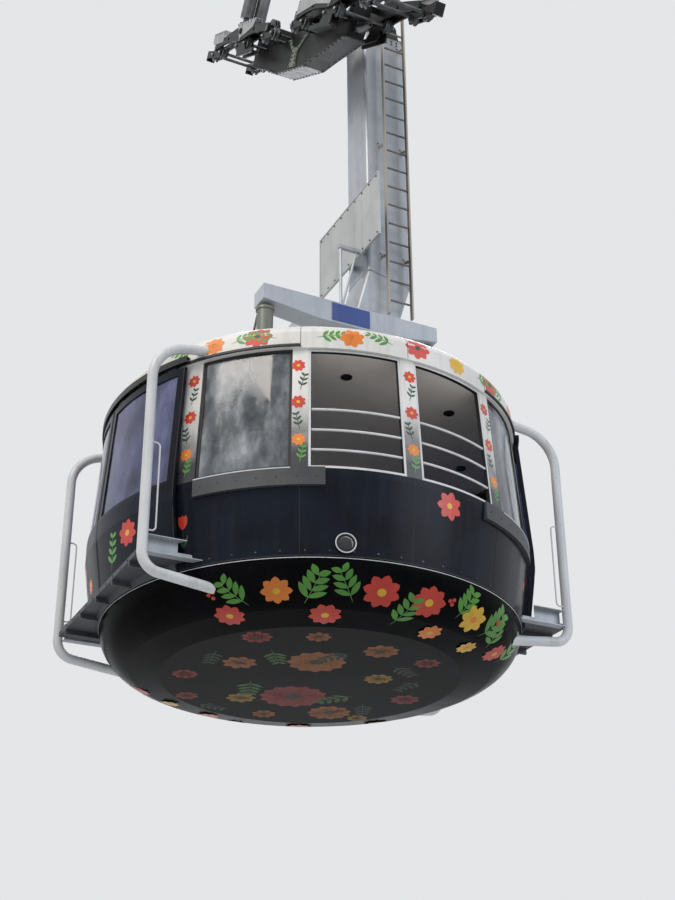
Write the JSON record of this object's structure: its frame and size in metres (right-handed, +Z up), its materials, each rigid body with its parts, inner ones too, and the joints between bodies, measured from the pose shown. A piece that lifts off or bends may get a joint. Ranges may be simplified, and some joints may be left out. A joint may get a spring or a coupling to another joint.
{
  "type": "cable car cabin",
  "caption": "Round aerial cable car cabin with turning floor and sliding doors, hung by an offset column from a roller carriage on two track ropes.",
  "frame": {"origin": "midway between the two track ropes at rope height, at the middle of the carriage", "axes": "+Z up, +Y uphill along the line (level), +X across the line; the ropes rise at 33 degrees towards +Y"},
  "size_m": [5.2, 6.1954, 11.7663],
  "materials": {
    "carriage_paint": "near black paint over steel",
    "flange_paint": "brown grey paint over steel, greasy",
    "bracket_paint": "grey green paint",
    "cover_paint": "light grey sheet",
    "cylinder_paint": "light grey paint",
    "grab_steel": "brushed stainless tube",
    "lamp_black": "black lamp socket",
    "lamp_lens": "white diffuser",
    "machined_steel": "worn machined steel",
    "galvanised_steel": "hot-dip galvanised, weathered",
    "beam_paint": "light lavender grey paint",
    "board_sheet": "flat grey sheet",
    "damper_paint": "grey green paint",
    "body_paint": "charcoal satin coat",
    "pillar_paint": "white coat",
    "seal_rubber": "black rubber",
    "tinted_glass": "grey tinted acrylic",
    "door_glass": "blue grey tinted acrylic",
    "rail_paint": "white enamel tube",
    "ceiling_panel": "dull grey brown lining",
    "rail_steel": "black rail",
    "platform_paint": "dark grey paint",
    "tube_paint": "pale grey paint on tube",
    "floor_covering": "studded rubber floor"
  },
  "bodies": {
    "carriage": {"carriage_girder": "carriage_paint", "girder_flange": "flange_paint", "pin_brackets": "bracket_paint", "hanger_pin": "machined_steel", "main_rockers": "carriage_paint", "bogie_frames": "carriage_paint", "rocker_covers": "cover_paint", "brake_discs": "machined_steel", "brake_cylinders": "cylinder_paint", "haul_sockets": "machined_steel"},
    "hanger": {"hanger_head": "carriage_paint", "hanger_column": "galvanised_steel", "hanger_yoke": "beam_paint", "roof_beams": "beam_paint", "ladder": "galvanised_steel", "side_board": "board_sheet", "conduits": "galvanised_steel", "dampers": "damper_paint", "floor_pan": "body_paint", "lower_wall_front": "body_paint", "lower_wall_rear": "body_paint", "pillars": "pillar_paint", "window_frames": "seal_rubber", "window_glass": "tinted_glass", "guard_rails": "rail_paint", "grab_rails": "grab_steel", "door_ledges": "body_paint", "port_lamps": "lamp_black", "fascia_ring": "pillar_paint", "roof_shell": "pillar_paint", "hatch_coaming": "pillar_paint", "ceiling": "ceiling_panel", "ceiling_lamps": "lamp_lens", "door_rails": "rail_steel", "platforms": "platform_paint", "platform_channels": "galvanised_steel", "bumpers": "tube_paint", "bumper_stirrups": "rail_paint"},
    "floor": {"turning_floor": "floor_covering"},
    "hatch": {"roof_hatch": "pillar_paint"},
    "axle_01": {"track_axle_01": "machined_steel"},
    "axle_02": {"track_axle_02": "machined_steel"},
    "axle_03": {"track_axle_03": "machined_steel"},
    "axle_04": {"track_axle_04": "machined_steel"},
    "axle_05": {"track_axle_05": "machined_steel"},
    "axle_06": {"track_axle_06": "machined_steel"},
    "axle_07": {"track_axle_07": "machined_steel"},
    "axle_08": {"track_axle_08": "machined_steel"},
    "axle_09": {"track_axle_09": "machined_steel"},
    "axle_10": {"track_axle_10": "machined_steel"},
    "axle_11": {"track_axle_11": "machined_steel"},
    "axle_12": {"track_axle_12": "machined_steel"},
    "door_right_front": {"door_right_front": "body_paint", "door_glass_right_front": "door_glass"},
    "door_right_rear": {"door_right_rear": "body_paint", "door_glass_right_rear": "door_glass"},
    "door_left_front": {"door_left_front": "body_paint", "door_glass_left_front": "door_glass"},
    "door_left_rear": {"door_left_rear": "body_paint", "door_glass_left_rear": "door_glass"}
  },
  "joints": [
    {"name": "hanger_swing", "type": "hinge", "parent": "carriage", "child": "hanger", "pos_m": [0, -0.22439, 0.34553], "axis": [1, 0, 0], "range_deg": [-30, 40]},
    {"name": "axle_01_spin", "type": "hinge", "parent": "carriage", "child": "axle_01", "pos_m": [0, -2.84157, -1.72014], "axis": [1, 0, 0], "continuous": true},
    {"name": "axle_02_spin", "type": "hinge", "parent": "carriage", "child": "axle_02", "pos_m": [0, -2.51449, -1.50773], "axis": [1, 0, 0], "continuous": true},
    {"name": "axle_03_spin", "type": "hinge", "parent": "carriage", "child": "axle_03", "pos_m": [0, -1.79324, -1.03934], "axis": [1, 0, 0], "continuous": true},
    {"name": "axle_04_spin", "type": "hinge", "parent": "carriage", "child": "axle_04", "pos_m": [0, -1.46615, -0.82693], "axis": [1, 0, 0], "continuous": true},
    {"name": "axle_05_spin", "type": "hinge", "parent": "carriage", "child": "axle_05", "pos_m": [0, -0.7449, -0.35854], "axis": [1, 0, 0], "continuous": true},
    {"name": "axle_06_spin", "type": "hinge", "parent": "carriage", "child": "axle_06", "pos_m": [0, -0.41782, -0.14613], "axis": [1, 0, 0], "continuous": true},
    {"name": "axle_07_spin", "type": "hinge", "parent": "carriage", "child": "axle_07", "pos_m": [0, 0.30344, 0.32226], "axis": [1, 0, 0], "continuous": true},
    {"name": "axle_08_spin", "type": "hinge", "parent": "carriage", "child": "axle_08", "pos_m": [0, 0.63052, 0.53466], "axis": [1, 0, 0], "continuous": true},
    {"name": "axle_09_spin", "type": "hinge", "parent": "carriage", "child": "axle_09", "pos_m": [0, 1.35178, 1.00305], "axis": [1, 0, 0], "continuous": true},
    {"name": "axle_10_spin", "type": "hinge", "parent": "carriage", "child": "axle_10", "pos_m": [0, 1.67886, 1.21546], "axis": [1, 0, 0], "continuous": true},
    {"name": "axle_11_spin", "type": "hinge", "parent": "carriage", "child": "axle_11", "pos_m": [0, 2.40012, 1.68385], "axis": [1, 0, 0], "continuous": true},
    {"name": "axle_12_spin", "type": "hinge", "parent": "carriage", "child": "axle_12", "pos_m": [0, 2.7272, 1.89626], "axis": [1, 0, 0], "continuous": true},
    {"name": "floor_turn", "type": "hinge", "parent": "hanger", "child": "floor", "pos_m": [0, -0.2244, -8.9975], "axis": [0, 0, 1], "continuous": true},
    {"name": "door_right_front_slide", "type": "hinge", "parent": "hanger", "child": "door_right_front", "pos_m": [0, -0.2244, -8.1775], "axis": [0, 0, -1], "range_deg": [0, 28]},
    {"name": "door_right_rear_slide", "type": "hinge", "parent": "hanger", "child": "door_right_rear", "pos_m": [0, -0.2244, -8.1775], "axis": [0, 0, 1], "range_deg": [0, 28]},
    {"name": "door_left_front_slide", "type": "hinge", "parent": "hanger", "child": "door_left_front", "pos_m": [0, -0.2244, -8.1775], "axis": [0, 0, 1], "range_deg": [0, 28]},
    {"name": "door_left_rear_slide", "type": "hinge", "parent": "hanger", "child": "door_left_rear", "pos_m": [0, -0.2244, -8.1775], "axis": [0, 0, -1], "range_deg": [0, 28]},
    {"name": "roof_hatch_hinge", "type": "hinge", "parent": "hanger", "child": "hatch", "pos_m": [-1.301, -0.2244, -6.2345], "axis": [0, -1, 0], "range_deg": [0, 95]}
  ],
  "couplings": [
    {"joint": "door_right_rear_slide", "follows": "door_right_front_slide", "ratio": 1},
    {"joint": "door_left_rear_slide", "follows": "door_left_front_slide", "ratio": 1}
  ]
}
